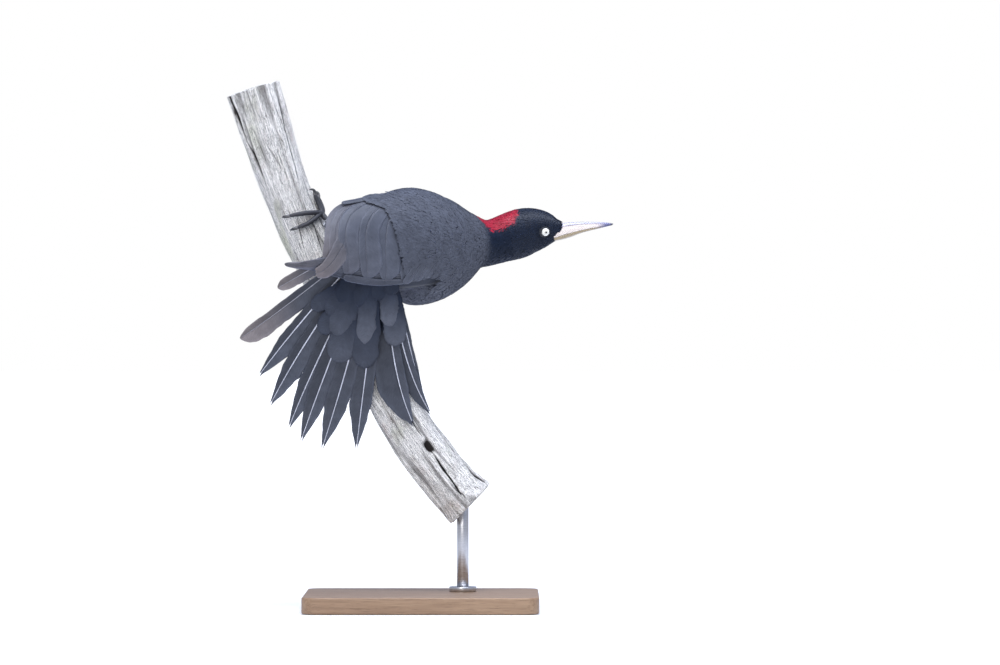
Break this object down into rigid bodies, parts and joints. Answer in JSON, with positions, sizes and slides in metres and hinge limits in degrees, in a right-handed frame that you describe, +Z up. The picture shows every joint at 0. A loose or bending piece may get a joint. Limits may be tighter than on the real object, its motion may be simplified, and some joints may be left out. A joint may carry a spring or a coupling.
{
  "type": "black woodpecker on a perch",
  "caption": "Still life-size model of a female black woodpecker that clings to a cut length of dead branch, leans out level and braces its fanned tail, on a plain display stand.",
  "frame": {"origin": "centre of the flat underside of the stand's base, which is also the bottom centre of the whole part's box", "axes": "+Z up, +X the way the bill points, -Y the side that shows the bird's back and right wing"},
  "size_m": [0.3991, 0.2344, 0.5421],
  "materials": {
    "plumage": "soft black to slate feathers with a faint blue gloss, red on the nape",
    "eye": "pale iris with a small dark pupil, wet gloss",
    "bill_dark": "blue-grey horn, darker at the tip, satin",
    "bill_pale": "ivory horn, satin",
    "leg_scales": "slate-grey scaly skin",
    "claw_horn": "dark horn, satin",
    "perch_wood": "weathered grey-white dead wood with dark cracks, matt",
    "base_wood": "oiled plain wood",
    "rod_steel": "brushed"
  },
  "bodies": {
    "root": {"rump": "plumage", "trunk": "plumage", "neck": "plumage", "head": "plumage", "wing_right": "plumage", "wing_left": "plumage", "thigh_right": "plumage", "thigh_left": "plumage", "tail": "plumage", "eye_right": "eye", "eye_left": "eye", "bill_upper": "bill_dark", "bill_lower": "bill_pale", "tarsus_right": "leg_scales", "tarsus_left": "leg_scales", "foot_right": "leg_scales", "foot_left": "leg_scales", "claw_right_outer": "claw_horn", "claw_right_second": "claw_horn", "claw_right_third": "claw_horn", "claw_right_hind": "claw_horn", "claw_left_outer": "claw_horn", "claw_left_second": "claw_horn", "claw_left_third": "claw_horn", "claw_left_hind": "claw_horn", "perch": "perch_wood", "stand_base": "base_wood", "stand_rod": "rod_steel", "stand_collar": "rod_steel"}
  },
  "joints": []
}
